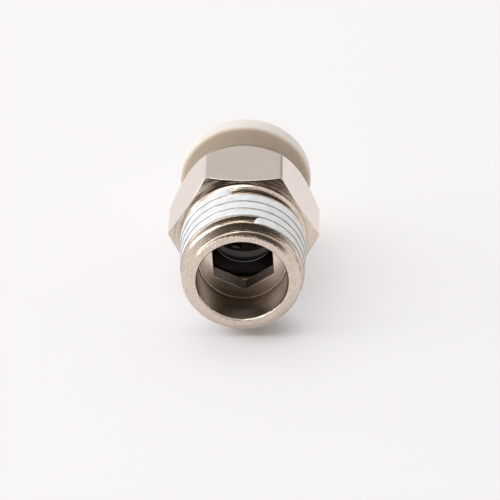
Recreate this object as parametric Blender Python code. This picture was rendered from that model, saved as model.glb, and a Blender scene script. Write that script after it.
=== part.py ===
"""Straight male push to connect fitting: 8 mm tube, R1/4 taper thread, 14 mm hexagon.

The axis lies along Y, with the thread end facing -Y and the tube end facing +Y. One flat of the
hexagon is on top and one below. Profiles are lists of (radius, station), and a station is counted
along the axis from the thread's end face. The world origin is the middle of the finished part.
"""

import math

import bmesh
import bpy
from mathutils import Matrix

MM = 0.001

# Steps round a full turn
SEGMENTS = 48

# Gaps between pieces: at rest on a seat, where one piece slides or turns in another, and round the sealant
SEAT_GAP = 0.05 * MM
RUNNING_GAP = 0.1 * MM
SEALANT_GAP = 0.025 * MM

# Tube that the fitting takes, and the play of the bores that guide it
TUBE_DIAMETER = 8.0 * MM
TUBE_PLAY = 0.1 * MM

# Taper pipe thread, right-handed
GAUGE_DIAMETER = 13.157 * MM
GAUGE_DISTANCE = 4.7 * MM
TAPER = 1 / 16
PITCH = 1.337 * MM
FLANK_ANGLE = math.radians(27.5)
DEPTH_PER_PITCH = 0.640
ROOT_WIDTH_PER_PITCH = 1 / 6
FIRST_GROOVE = 0.80 * MM
THREAD_LENGTH = 8.75 * MM
PLAIN_SHANK = 0.60 * MM
RUNOUT_TURNS = 0.5
TIP_FACE_WIDTH = 0.67 * MM
TIP_CHAMFER_ANGLE = math.radians(42)

# Sealant band: bare turns before it, bare turns left before the run-out, and depth below the crests
SEALANT_FIRST_TURN = 1.033
SEALANT_BARE_TURNS = 0.028
SEALANT_RECESS = 0.02 * MM

# Hexagon
HEX_ACROSS_FLATS = 14.0 * MM
HEX_LENGTH = 7.9 * MM
HEX_CORNER_TRIM = 0.09 * MM
HEX_FRONT_ANGLE = math.radians(27)
HEX_FRONT_EDGE = 0.1 * MM
REAR_CONE_ANGLE = math.radians(30)
MOUTH_RIM = 0.5 * MM

# Front bore, which leaves a wall under the thread, and the hexagon key socket at its end
THREAD_WALL = 0.646 * MM
FRONT_BORE_BREAK = 0.12 * MM
KEY_ACROSS_FLATS = 6.4 * MM
KEY_DEPTH = 1.8 * MM
KEY_TURN = math.radians(3.5)
KEY_PILOT_INSET = 0.15 * MM

# Pocket where the tube ends, wide enough for a tube end that is cut askew
TUBE_POCKET_LENGTH = 2.1 * MM
TUBE_POCKET_PLAY = 0.4 * MM

# Lip seal: its wall outside the tube, and how far its lip reaches inside the tube's own radius
SEAL_WALL = 1.1 * MM
SEAL_LENGTH = 2.75 * MM
SEAL_SQUEEZE = 0.67 * MM
SEAL_LIP_STATION = 0.95 * MM
SEAL_LIP_ROUND = 0.16 * MM
SEAL_ENTRY = 0.2 * MM
SEAL_LIP_WALL = 0.25 * MM
SEAL_GROOVE_DEPTH = 1.0 * MM

# Spacer ring
SPACER_LENGTH = 1.55 * MM
SPACER_EDGE = 0.2 * MM

# Chuck: a dished ring of thin sheet with claws cut into its inner edge
CHUCK_THICKNESS = 0.3 * MM
CHUCK_RISE = 0.55 * MM
CHUCK_BITE = 0.15 * MM
CHUCK_RIM_WIDTH = 0.5 * MM
CHUCK_RIM_PLAY = 0.2 * MM
CLAW_COUNT = 12
CLAW_SLOT_WIDTH = 0.9 * MM
CLAW_TURN = math.radians(4)

# Collet
COLLET_LENGTH = 1.1 * MM
COLLET_RING = 0.45 * MM
COLLET_SLOT_WIDTH = 0.7 * MM

# Guide ring
GUIDE_WALL = 0.3 * MM
GUIDE_TAPER_LENGTH = 1.0 * MM
GUIDE_TAPER_RISE = 0.45 * MM
GUIDE_LIP_LENGTH = 0.8 * MM
GUIDE_FLANGE_THICKNESS = 0.5 * MM
GUIDE_FLANGE_OVERHANG = 0.35 * MM

# Release button
PRESS_TRAVEL = 1.3 * MM
PRESS_END_GAP = 0.1 * MM
SLEEVE_WALL = 0.75 * MM
BEAD_HEIGHT = 0.25 * MM
BEAD_LENGTH = 0.4 * MM
FLANGE_INSET = 0.05 * MM
FLANGE_THICKNESS = 2.1 * MM
FLANGE_STANDOFF = 2.75 * MM
FLANGE_FRONT_ROUND = 0.8 * MM
FLANGE_REAR_ROUND = 0.5 * MM
NECK_ROUND = 0.25 * MM
MOUTH_CHAMFER = 0.4 * MM
ROUND_STEPS = 4

# Radii that follow from the tube, working outwards
TUBE_RADIUS = TUBE_DIAMETER / 2
TUBE_BORE = TUBE_RADIUS + TUBE_PLAY
TUBE_POCKET = TUBE_RADIUS + TUBE_POCKET_PLAY
SEAL_POCKET = TUBE_BORE + SEAL_WALL
SLEEVE_RADIUS = TUBE_BORE + SLEEVE_WALL
LIP_BORE = SLEEVE_RADIUS + RUNNING_GAP
BEAD_RADIUS = SLEEVE_RADIUS + BEAD_HEIGHT
BEAD_POCKET = BEAD_RADIUS + RUNNING_GAP
TAPER_MOUTH = BEAD_POCKET + GUIDE_TAPER_RISE
GUIDE_RADIUS = TAPER_MOUTH + GUIDE_WALL
CHAMBER_RADIUS = GUIDE_RADIUS + SEAT_GAP
REAR_FACE_RADIUS = CHAMBER_RADIUS + MOUTH_RIM
CHUCK_RADIUS = TAPER_MOUTH - CHUCK_RIM_PLAY
CLAW_RADIUS = TUBE_RADIUS - CHUCK_BITE

# Radii that follow from the hexagon: the button's flange stays just inside the flats
HEX_INSCRIBED = HEX_ACROSS_FLATS / 2
HEX_CORNER = HEX_ACROSS_FLATS / math.sqrt(3) - HEX_CORNER_TRIM
FLANGE_RADIUS = HEX_INSCRIBED - FLANGE_INSET

# Stations that follow from the body's two lengths: the stack in the mouth, then inwards to the key socket
HEX_FRONT = THREAD_LENGTH
HEX_REAR = HEX_FRONT + HEX_LENGTH
FLANGE_FRONT = HEX_REAR + FLANGE_STANDOFF
TUBE_END = FLANGE_FRONT + FLANGE_THICKNESS
GUIDE_REAR = HEX_REAR + SEAT_GAP + GUIDE_FLANGE_THICKNESS
LIP_FRONT = GUIDE_REAR - GUIDE_LIP_LENGTH
BEAD_REAR = LIP_FRONT - SEAT_GAP
BEAD_FRONT = BEAD_REAR - BEAD_LENGTH
COLLET_REAR = BEAD_FRONT - SEAT_GAP
COLLET_FRONT = COLLET_REAR - COLLET_LENGTH
TAPER_FRONT = COLLET_REAR - GUIDE_TAPER_LENGTH
CHUCK_RIM_REAR = COLLET_FRONT - SEAT_GAP
CHUCK_RIM_FRONT = CHUCK_RIM_REAR - CHUCK_THICKNESS
CLAW_TIP = CHUCK_RIM_FRONT - CHUCK_RISE
SPACER_REAR = CLAW_TIP - PRESS_END_GAP - PRESS_TRAVEL
SPACER_FRONT = SPACER_REAR - SPACER_LENGTH
CHAMBER_START = SPACER_FRONT - SEAT_GAP
SEAL_REAR = CHAMBER_START
SEAL_FRONT = SEAL_REAR - SEAL_LENGTH
SEAL_POCKET_START = SEAL_FRONT - SEAT_GAP
TUBE_STOP = SEAL_POCKET_START - TUBE_POCKET_LENGTH
KEY_START = TUBE_STOP - KEY_DEPTH

# Thread form
TIP_CREST = GAUGE_DIAMETER / 2 - GAUGE_DISTANCE * TAPER / 2
THREAD_DEPTH = DEPTH_PER_PITCH * PITCH
ROOT_HALF_WIDTH = ROOT_WIDTH_PER_PITCH * PITCH / 2
FRONT_BORE = TIP_CREST - THREAD_DEPTH - THREAD_WALL
RUNOUT_END_TURN = (HEX_FRONT - PLAIN_SHANK - FIRST_GROOVE) / PITCH
RUNOUT_START_TURN = RUNOUT_END_TURN - RUNOUT_TURNS

# How far cutting shapes reach past the metal that they cut
CUT_REACH = 0.5 * MM
GROOVE_REACH = 0.1 * MM

# The flats are cut from just behind the hexagon's front face, clear of the thread
FLATS_CUT_DELAY = 0.02 * MM


def remove_everything():
    """Empty the scene."""
    for item in list(bpy.data.objects):
        bpy.data.objects.remove(item, do_unlink=True)


def finish(name, colour, roughness, metallic):
    """A Principled material with one colour."""
    material = bpy.data.materials.new(name)
    material.use_nodes = True
    shader = material.node_tree.nodes["Principled BSDF"]
    shader.inputs["Base Color"].default_value = (*colour, 1)
    shader.inputs["Roughness"].default_value = roughness
    shader.inputs["Metallic"].default_value = metallic
    return material


def add_empty(name, parent=None, station=0.0):
    """An empty on the axis, to carry a group of pieces."""
    empty = bpy.data.objects.new(name, None)
    empty.parent = parent
    empty.location.y = station
    bpy.context.collection.objects.link(empty)
    return empty


def add_object(name, shape, parent, material=None):
    """Turn a bmesh into an object on the axis. With no material it is a cutting shape, and hidden."""
    bmesh.ops.recalc_face_normals(shape, faces=shape.faces)
    mesh = bpy.data.meshes.new(name)
    shape.to_mesh(mesh)
    shape.free()
    mesh.shade_smooth()
    mesh.set_sharp_from_angle(angle=math.radians(25))
    item = bpy.data.objects.new(name, mesh)
    item.parent = parent
    bpy.context.collection.objects.link(item)
    if material:
        mesh.materials.append(material)
    else:
        item.hide_render = True
        item.display_type = "WIRE"
    return item


def cut(item, cutter):
    """Cut one shape out of another."""
    modifier = item.modifiers.new(cutter.name, "BOOLEAN")
    modifier.operation = "DIFFERENCE"
    modifier.solver = "EXACT"
    modifier.object = cutter


def arc(radius, station, size, start, end):
    """Profile points on a quarter round about (radius, station), from one angle to another in degrees."""
    points = []
    for step in range(ROUND_STEPS + 1):
        angle = math.radians(start + (end - start) * step / ROUND_STEPS)
        points.append((radius + size * math.cos(angle), station + size * math.sin(angle)))
    return points


def turned(profile, steps=SEGMENTS):
    """Spin a closed profile of (radius, station) a full turn about the axis."""
    shape = bmesh.new()
    verts = [shape.verts.new((radius, station, 0)) for radius, station in profile]
    edges = [shape.edges.new((verts[index - 1], verts[index])) for index in range(len(verts))]
    bmesh.ops.spin(
        shape, geom=verts + edges, cent=(0, 0, 0), axis=(0, 1, 0), angle=math.tau, steps=steps, use_merge=True
    )
    return shape


def radial_slots(count, turn, width, inner, outer, start, end):
    """Boxes set round the axis like spokes, the first one pointing straight down before the turn."""
    shape = bmesh.new()
    size = Matrix.Diagonal((width, end - start, outer - inner, 1))
    place = Matrix.Translation((0, (start + end) / 2, -(inner + outer) / 2))
    for index in range(count):
        spoke = Matrix.Rotation(turn + index * math.tau / count, 4, "Y")
        bmesh.ops.create_cube(shape, size=1, matrix=spoke @ place @ size)
    return shape


def hexagon_bar(across_flats, start, end, turn):
    """Solid hexagon along the axis, with one corner straight down before the turn."""
    shape = bmesh.new()
    corner = across_flats / math.sqrt(3)
    ring = []
    for index in range(6):
        angle = index * math.tau / 6 + turn
        ring.append(shape.verts.new((corner * math.sin(angle), start, -corner * math.cos(angle))))
    face = shape.faces.new(ring)
    grown = bmesh.ops.extrude_face_region(shape, geom=[face])
    moved = [part for part in grown["geom"] if isinstance(part, bmesh.types.BMVert)]
    bmesh.ops.translate(shape, verts=moved, vec=(0, end - start, 0))
    return shape


def crest_radius(station):
    """Radius of the thread's crests, which grows along the taper."""
    return TIP_CREST + station * TAPER / 2


def groove_section(turn, top, gap, lift):
    """Corners of the groove at a turn counted from straight up, narrowed by a gap and lifted outwards.

    The top is its height over the crests, and the flanks lean by the flank angle.
    """
    station = FIRST_GROOVE + turn * PITCH
    root = crest_radius(station) - THREAD_DEPTH + gap
    crown = crest_radius(station) + top
    root_half = ROOT_HALF_WIDTH + gap * math.tan(FLANK_ANGLE) - gap / math.cos(FLANK_ANGLE)
    crown_half = root_half + (crown - root) * math.tan(FLANK_ANGLE)
    return [
        (root + lift, station - root_half),
        (crown + lift, station - crown_half),
        (crown + lift, station + crown_half),
        (root + lift, station + root_half),
    ]


def helical_band(turns, section):
    """Carry a four-cornered section along the thread, clockwise as seen from the thread end."""
    shape = bmesh.new()
    rings = []
    for turn in turns:
        angle = turn * math.tau
        corners = [(r * math.sin(angle), s, r * math.cos(angle)) for r, s in section(turn)]
        rings.append([shape.verts.new(corner) for corner in corners])
    for near, far in zip(rings, rings[1:]):
        for index in range(4):
            shape.faces.new((near[index - 1], near[index], far[index], far[index - 1]))
    shape.faces.new(rings[0])
    shape.faces.new(rings[-1])
    return shape


def steps_between(first, last):
    """Turns from first to last, at the ends and at every whole step of the round between them."""
    inner = range(math.floor(first * SEGMENTS) + 1, math.ceil(last * SEGMENTS))
    return [first] + [step / SEGMENTS for step in inner] + [last]


def body_profile():
    """Bar stock turned outside and bored inside, before the flats, key socket and thread are cut."""
    end_face = FRONT_BORE + TIP_FACE_WIDTH
    shoulder = HEX_INSCRIBED - HEX_FRONT_EDGE
    slope = math.tan(TIP_CHAMFER_ANGLE)
    tip_chamfer = (TIP_CREST - end_face) * slope / (1 - slope * TAPER / 2)
    pilot = KEY_ACROSS_FLATS / 2 - KEY_PILOT_INSET
    return [
        (FRONT_BORE, FRONT_BORE_BREAK),
        (FRONT_BORE + FRONT_BORE_BREAK, 0),
        (end_face, 0),
        (crest_radius(tip_chamfer), tip_chamfer),
        (crest_radius(HEX_FRONT), HEX_FRONT),
        (shoulder, HEX_FRONT),
        (HEX_CORNER, HEX_FRONT + (HEX_CORNER - shoulder) * math.tan(HEX_FRONT_ANGLE)),
        (HEX_CORNER, HEX_REAR - (HEX_CORNER - REAR_FACE_RADIUS) / math.tan(REAR_CONE_ANGLE)),
        (REAR_FACE_RADIUS, HEX_REAR),
        (CHAMBER_RADIUS, HEX_REAR),
        (CHAMBER_RADIUS, CHAMBER_START),
        (SEAL_POCKET, CHAMBER_START),
        (SEAL_POCKET, SEAL_POCKET_START),
        (TUBE_POCKET, SEAL_POCKET_START),
        (TUBE_POCKET, TUBE_STOP),
        (pilot, TUBE_STOP),
        (pilot, KEY_START),
        (FRONT_BORE, KEY_START),
    ]


def groove_cutter(turn):
    """Section of the thread cutter, which leaves the metal over the run-out."""
    runout = max(0.0, (turn - RUNOUT_START_TURN) / RUNOUT_TURNS)
    return groove_section(turn, GROOVE_REACH, 0.0, runout * (THREAD_DEPTH + GROOVE_REACH))


def make_body(parent, material):
    """Turned, threaded and socketed body."""
    body = add_object("body", turned(body_profile()), parent, material)

    inside = HEX_ACROSS_FLATS / math.sqrt(3)
    outside = inside + HEX_CORNER
    start = HEX_FRONT + FLATS_CUT_DELAY
    end = HEX_REAR + CUT_REACH
    flats = turned([(inside, start), (outside, start), (outside, end), (inside, end)], steps=6)
    cut(body, add_object("hexagon_flats_cut", flats, parent))

    socket = hexagon_bar(KEY_ACROSS_FLATS, KEY_START - CUT_REACH, TUBE_STOP + CUT_REACH, KEY_TURN)
    cut(body, add_object("key_socket_cut", socket, parent))

    first_turn = -(FIRST_GROOVE / PITCH) - 1
    groove = helical_band(steps_between(first_turn, RUNOUT_END_TURN), groove_cutter)
    cut(body, add_object("thread_groove_cut", groove, parent))
    return body


def make_sealant(parent, material):
    """Band of sealant that fills the middle turns of the thread nearly to the crests."""
    turns = steps_between(SEALANT_FIRST_TURN, RUNOUT_START_TURN - SEALANT_BARE_TURNS)
    band = helical_band(turns, lambda turn: groove_section(turn, -SEALANT_RECESS, SEALANT_GAP, 0.0))
    return add_object("thread_sealant", band, parent, material)


def make_seal(parent, material):
    """Lip seal: a groove behind its front edge lets pressure press the lip on the tube."""
    outer = SEAL_POCKET - SEAT_GAP
    lip = TUBE_RADIUS - SEAL_SQUEEZE
    lip_station = SEAL_FRONT + SEAL_LIP_STATION
    entry = TUBE_BORE + SEAL_ENTRY
    groove_end = SEAL_FRONT + SEAL_GROOVE_DEPTH
    profile = [
        (outer, SEAL_FRONT),
        (outer, SEAL_REAR),
        (TUBE_BORE, SEAL_REAR),
        *arc(lip + SEAL_LIP_ROUND, lip_station, SEAL_LIP_ROUND, 135, 225),
        (entry, SEAL_FRONT),
        (entry + SEAL_LIP_WALL, SEAL_FRONT),
        (entry + SEAL_LIP_WALL, groove_end),
        (outer - SEAL_LIP_WALL, groove_end),
        (outer - SEAL_LIP_WALL, SEAL_FRONT),
    ]
    return add_object("seal", turned(profile), parent, material)


def make_spacer(parent, material):
    """Ring that keeps the seal in its pocket."""
    outer = CHAMBER_RADIUS - SEAT_GAP
    profile = [
        (TUBE_BORE, SPACER_FRONT + SPACER_EDGE),
        (TUBE_BORE + SPACER_EDGE, SPACER_FRONT),
        (outer, SPACER_FRONT),
        (outer, SPACER_REAR),
        (TUBE_BORE + SPACER_EDGE, SPACER_REAR),
        (TUBE_BORE, SPACER_REAR - SPACER_EDGE),
    ]
    return add_object("spacer_ring", turned(profile), parent, material)


def make_chuck(parent, material):
    """Dished ring of thin sheet, its claws leaning towards the thread end."""
    profile = [
        (CLAW_RADIUS, CLAW_TIP),
        (CHUCK_RADIUS, CHUCK_RIM_FRONT),
        (CHUCK_RADIUS, CHUCK_RIM_REAR),
        (CLAW_RADIUS, CLAW_TIP + CHUCK_THICKNESS),
    ]
    chuck = add_object("chuck", turned(profile), parent, material)
    inner = CLAW_RADIUS - CUT_REACH
    slots = radial_slots(
        CLAW_COUNT,
        CLAW_TURN + math.pi / CLAW_COUNT,
        CLAW_SLOT_WIDTH,
        inner,
        CHUCK_RADIUS - CHUCK_RIM_WIDTH,
        CLAW_TIP - CUT_REACH,
        CHUCK_RIM_REAR + CUT_REACH,
    )
    cut(chuck, add_object("claw_slots_cut", slots, parent))
    return chuck


def make_collet(parent, material):
    """Ring of fingers behind the chuck, coned outside to suit the guide's taper."""
    slope = CHUCK_RISE / (CHUCK_RADIUS - CLAW_RADIUS)
    cone_slope = GUIDE_TAPER_RISE / GUIDE_TAPER_LENGTH
    tail = BEAD_POCKET - RUNNING_GAP
    shoulder = COLLET_REAR - (CHUCK_RADIUS - tail) / cone_slope
    profile = [
        (TUBE_BORE, COLLET_FRONT - (CHUCK_RADIUS - TUBE_BORE) * slope),
        (CHUCK_RADIUS, COLLET_FRONT),
        (CHUCK_RADIUS, shoulder),
        (tail, COLLET_REAR),
        (TUBE_BORE, COLLET_REAR),
    ]
    collet = add_object("collet", turned(profile), parent, material)
    slots = radial_slots(
        CLAW_COUNT,
        CLAW_TURN + math.pi / CLAW_COUNT,
        COLLET_SLOT_WIDTH,
        TUBE_BORE - CUT_REACH,
        CHUCK_RADIUS + CUT_REACH,
        CLAW_TIP,
        COLLET_REAR - COLLET_RING,
    )
    cut(collet, add_object("collet_slots_cut", slots, parent))
    return collet


def make_guide(parent, material):
    """Ring pressed into the mouth: a taper inside, and a lip that keeps the button's bead in."""
    flange = CHAMBER_RADIUS + GUIDE_FLANGE_OVERHANG
    seat = HEX_REAR + SEAT_GAP
    profile = [
        (TAPER_MOUTH, TAPER_FRONT),
        (GUIDE_RADIUS, TAPER_FRONT),
        (GUIDE_RADIUS, seat),
        (flange, seat),
        (flange, GUIDE_REAR),
        (LIP_BORE, GUIDE_REAR),
        (LIP_BORE, LIP_FRONT),
        (BEAD_POCKET, LIP_FRONT),
        (BEAD_POCKET, COLLET_REAR),
    ]
    return add_object("guide_ring", turned(profile), parent, material)


def make_button(parent, material):
    """Round flange to press, on a sleeve with a bead that the guide's lip holds back."""
    rim = FLANGE_RADIUS
    front_round = FLANGE_FRONT_ROUND
    rear_round = FLANGE_REAR_ROUND
    profile = [
        (TUBE_BORE, TUBE_END - MOUTH_CHAMFER),
        (TUBE_BORE + MOUTH_CHAMFER, TUBE_END),
        *reversed(arc(rim - rear_round, TUBE_END - rear_round, rear_round, 0, 90)),
        *arc(rim - front_round, FLANGE_FRONT + front_round, front_round, 0, -90),
        *arc(SLEEVE_RADIUS + NECK_ROUND, FLANGE_FRONT - NECK_ROUND, NECK_ROUND, 90, 180),
        (SLEEVE_RADIUS, BEAD_REAR),
        (BEAD_RADIUS, BEAD_REAR),
        (BEAD_RADIUS, BEAD_FRONT + BEAD_LENGTH / 2),
        (SLEEVE_RADIUS, BEAD_FRONT),
        (TUBE_BORE, BEAD_FRONT),
    ]
    return add_object("release_button", turned(profile), parent, material)


def main():
    remove_everything()
    nickel = finish("nickel_plated_brass", (0.60, 0.55, 0.49), 0.25, 1.0)
    sealant = finish("white_thread_sealant", (0.82, 0.84, 0.86), 0.6, 0.0)
    cream = finish("cream_plastic", (0.72, 0.66, 0.57), 0.45, 0.0)
    grey = finish("grey_plastic", (0.30, 0.30, 0.33), 0.5, 0.0)
    rubber = finish("black_rubber", (0.02, 0.02, 0.02), 0.4, 0.0)
    steel = finish("stainless_steel", (0.55, 0.55, 0.55), 0.3, 1.0)

    fitting = add_empty("fitting", station=-TUBE_END / 2)
    make_body(fitting, nickel)
    make_sealant(fitting, sealant)
    make_seal(fitting, rubber)
    make_spacer(fitting, grey)
    make_guide(fitting, nickel)

    sliding = add_empty("sliding_group", fitting)
    make_chuck(sliding, steel)
    make_collet(sliding, grey)
    make_button(sliding, cream)


main()
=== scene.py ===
# %% [markdown]
# # A push to connect fitting, dressed for its photograph
#
# The part is small: 21.5 mm long, a threaded brass body with a hexagon, and a plastic button that
# lets a pushed-in tube go. The engineering model gives every piece its size and place. Here each
# piece gets a smooth surface and the finish of the real thing.
#
# Almost every piece was turned on a lathe or moulded round, so almost every surface below is a
# profile carried round one axis. The axis is Y, and the thread end faces -Y.

# %% Load the model that everything is fitted to
import math

import bpy
import numpy as np
from mathutils import Matrix, Vector


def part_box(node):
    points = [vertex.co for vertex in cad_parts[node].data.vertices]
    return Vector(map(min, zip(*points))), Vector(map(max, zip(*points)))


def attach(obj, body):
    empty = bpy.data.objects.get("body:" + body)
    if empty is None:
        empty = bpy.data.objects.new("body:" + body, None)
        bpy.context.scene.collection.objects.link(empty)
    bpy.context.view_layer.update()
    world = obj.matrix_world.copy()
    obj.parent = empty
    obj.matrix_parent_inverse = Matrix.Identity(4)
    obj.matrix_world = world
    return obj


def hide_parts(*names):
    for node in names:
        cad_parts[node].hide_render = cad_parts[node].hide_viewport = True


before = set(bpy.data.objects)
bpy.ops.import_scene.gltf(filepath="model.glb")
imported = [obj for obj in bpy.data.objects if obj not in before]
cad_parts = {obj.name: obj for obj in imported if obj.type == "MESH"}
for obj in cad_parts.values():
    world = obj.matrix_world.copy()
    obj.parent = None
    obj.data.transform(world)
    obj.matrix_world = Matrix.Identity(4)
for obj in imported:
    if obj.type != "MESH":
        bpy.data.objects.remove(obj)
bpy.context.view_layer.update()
MM = 0.001

# %% [markdown]
# ## Stations along the axis
#
# A turner counts every length from one end face, so the lengths here do too. A station is a distance
# in millimetres from the thread's end face. The ends of the pieces are read from the engineering
# model's boxes, which keeps each new surface on the solid that it stands for.

# %% Read the stations of the pieces
thread_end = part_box("body")[0].y


def span(node):
    """First and last station of a node, in millimetres.

    They are the ends of its box along Y, less the thread end.
    """
    low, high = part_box(node)
    return (low.y - thread_end) / MM, (high.y - thread_end) / MM


def reach(node):
    """Largest radius of a node: how far its box reaches from the axis along X, in millimetres."""
    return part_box(node)[1].x / MM


HEX_REAR = span("body")[1]
SEAL_FRONT, SEAL_REAR = span("seal")
SPACER_FRONT, SPACER_REAR = span("spacer_ring")
CLAW_TIP, CHUCK_REAR = span("chuck")
COLLET_FRONT, COLLET_REAR = span("collet")
GUIDE_FRONT, GUIDE_REAR = span("guide_ring")
SLEEVE_FRONT, TUBE_END = span("release_button")
print(f"hexagon ends at {HEX_REAR:.2f} mm, tube end at {TUBE_END:.2f} mm")

# %% [markdown]
# ## The camera
#
# The photograph was taken from a little right of the axis, about a third of the way up from level,
# with a long lens: lines along the axis hardly draw together. A camera a metre away with a lens to
# match shows the same. Its scale is the number of picture elements that one millimetre covers, out of
# the 500 across the picture.

# %% Set up the camera
CAMERA_ELEVATION = math.radians(32.52)
CAMERA_AZIMUTH = math.radians(1.14)
CAMERA_ROLL = math.radians(-0.22)
CAMERA_DISTANCE = 1000.0
PICTURE_WIDTH = 500
PIXELS_PER_MM = 9.464
AIM_STATION = 8.0
AIM_RIGHT = 0.689
AIM_UP = -0.989

away = Vector((
    math.sin(CAMERA_AZIMUTH) * math.cos(CAMERA_ELEVATION),
    -math.cos(CAMERA_AZIMUTH) * math.cos(CAMERA_ELEVATION),
    math.sin(CAMERA_ELEVATION),
))
level_right = (-away).cross(Vector((0, 0, 1))).normalized()
level_up = level_right.cross(-away)
right = level_right * math.cos(CAMERA_ROLL) + level_up * math.sin(CAMERA_ROLL)
up = level_up * math.cos(CAMERA_ROLL) - level_right * math.sin(CAMERA_ROLL)

aim = Vector((0, thread_end + AIM_STATION * MM, 0)) + (right * AIM_RIGHT + up * AIM_UP) * MM
lens = bpy.data.cameras.new("camera")
lens.sensor_width = 36.0
lens.lens = PIXELS_PER_MM * CAMERA_DISTANCE * lens.sensor_width / PICTURE_WIDTH
lens.clip_end = 20.0
camera = bpy.data.objects.new("camera", lens)
camera.matrix_world = Matrix.Translation(aim + away * CAMERA_DISTANCE * MM) @ Matrix((
    (right.x, up.x, away.x, 0),
    (right.y, up.y, away.y, 0),
    (right.z, up.z, away.z, 0),
    (0, 0, 0, 1),
))
bpy.context.collection.objects.link(camera)
bpy.context.scene.camera = camera
print(f"lens {lens.lens:.0f} mm at {CAMERA_DISTANCE:.0f} mm")

# %% [markdown]
# ## Colours and nodes
#
# Colours are written as they look on a screen, in sRGB hex. Blender's shaders want linear light, so
# one function converts them. A second small function adds a node, sets it and links it, so that each
# material below reads as a list of what it is made of. The nodes that come up most, and the sums they
# do, have short names.

# %% Helpers for colours and nodes
MATH, VECTOR, NOISE = "ShaderNodeMath", "ShaderNodeVectorMath", "ShaderNodeTexNoise"
TIMES, PLUS, TIMES_PLUS = {"operation": "MULTIPLY"}, {"operation": "ADD"}, {"operation": "MULTIPLY_ADD"}
LARGER, LENGTH, UNIT = {"operation": "MAXIMUM"}, {"operation": "LENGTH"}, {"operation": "NORMALIZE"}


def linear(hex_colour):
    """sRGB hex to linear RGB.

    A channel up to 0.04045 is divided by 12.92. A brighter one has 0.055 added, is divided by 1.055 and
    is raised to the power 2.4.
    """
    value = np.array([int(hex_colour[i:i + 2], 16) for i in (1, 3, 5)]) / 255
    low = value / 12.92
    high = ((value + 0.055) / 1.055) ** 2.4
    return (*np.where(value <= 0.04045, low, high).tolist(), 1.0)


def add_node(tree, kind, settings=None, links=None, values=None, stops=()):
    """Add a node with its settings, its fixed input values and the sockets that feed its inputs.

    A node with a colour ramp also gets its stops, as pairs of place and hex colour or grey level.
    """
    node = tree.nodes.new(kind)
    for name, value in (settings or {}).items():
        setattr(node, name, value)
    for name, value in (values or {}).items():
        node.inputs[name].default_value = value
    for name, socket in (links or {}).items():
        tree.links.new(socket, node.inputs[name])
    while stops and len(node.color_ramp.elements) < len(stops):
        node.color_ramp.elements.new(1.0)
    for i, (place, tone) in enumerate(stops):
        element = node.color_ramp.elements[i]
        element.position = place
        element.color = linear(tone) if isinstance(tone, str) else (tone, tone, tone, 1)
    return node


def new_material(name, **values):
    """A material with a Principled shader, its fixed values set on the shader's own sockets."""
    material = bpy.data.materials.new(name)
    material.use_nodes = True
    shader = material.node_tree.nodes["Principled BSDF"]
    for socket, value in values.items():
        shader.inputs[socket.replace("_", " ")].default_value = value
    return material, material.node_tree, shader


print("middle grey on the screen is this much light:", linear("#808080")[:3])

# %% [markdown]
# ## The white table
#
# The fitting lies on a flat of its hexagon, on a sheet of white paper. One large face does for the
# sheet. It is three metres wide, so its edges stay out of sight from every side.

# %% Lay the table
TABLE_SIZE = 3.0

table_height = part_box("body")[0].z
half = TABLE_SIZE / 2
corners = np.array([(-half, -half), (half, -half), (half, half), (-half, half)])
table_mesh = bpy.data.meshes.new("table")
table_mesh.from_pydata(np.column_stack([corners, np.full(4, table_height)]), [], [(0, 1, 2, 3)])
table = bpy.data.objects.new("table", table_mesh)
bpy.context.collection.objects.link(table)
print(f"table at {table_height / MM:.2f} mm")

# %% [markdown]
# ## The white paper
#
# The paper is almost as bright as the picture can show. Lamps strong enough for that would burn out the
# plastic and the sealant, so the light stays at a plain level. Instead, rays from the camera and rays
# mirrored by metal see the paper lifted towards its own white. The lift is only partial, so the soft
# shadow stays. For the camera the lift also fades out in a fixed oval under the thread end, which paints
# a darker shadow there. The oval stays with the table and does not follow the fitting.

# %% Make the paper
PAPER_COLOUR = "#F9F7F8"
PAPER_ROUGHNESS = 0.9
PAPER_LIFT = 0.42
# Painted shadow on the paper: the centre and reach of the oval, and the share of it that is fully dark.
PAINTED_SHADOW_CENTRE = Vector((2.0, -8.8, 0)) * MM
PAINTED_SHADOW_REACH = Vector((5.6, 4.5)) * MM
PAINTED_SHADOW_CORE = 0.2

paper, tree, shader = new_material(
    "white_table_paper", Base_Color=linear(PAPER_COLOUR), Roughness=PAPER_ROUGHNESS
)
place = add_node(tree, "ShaderNodeTexCoord").outputs["Object"]
from_painted_shadow = add_node(tree, VECTOR, {"operation": "SUBTRACT"}, {0: place}, {1: PAINTED_SHADOW_CENTRE})
oval_scale = (1 / PAINTED_SHADOW_REACH.x, 1 / PAINTED_SHADOW_REACH.y, 0)
in_oval = add_node(tree, VECTOR, TIMES, {0: from_painted_shadow.outputs["Vector"]}, {1: oval_scale})
painted_shadow_ring = add_node(tree, VECTOR, LENGTH, {0: in_oval.outputs["Vector"]})
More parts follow.
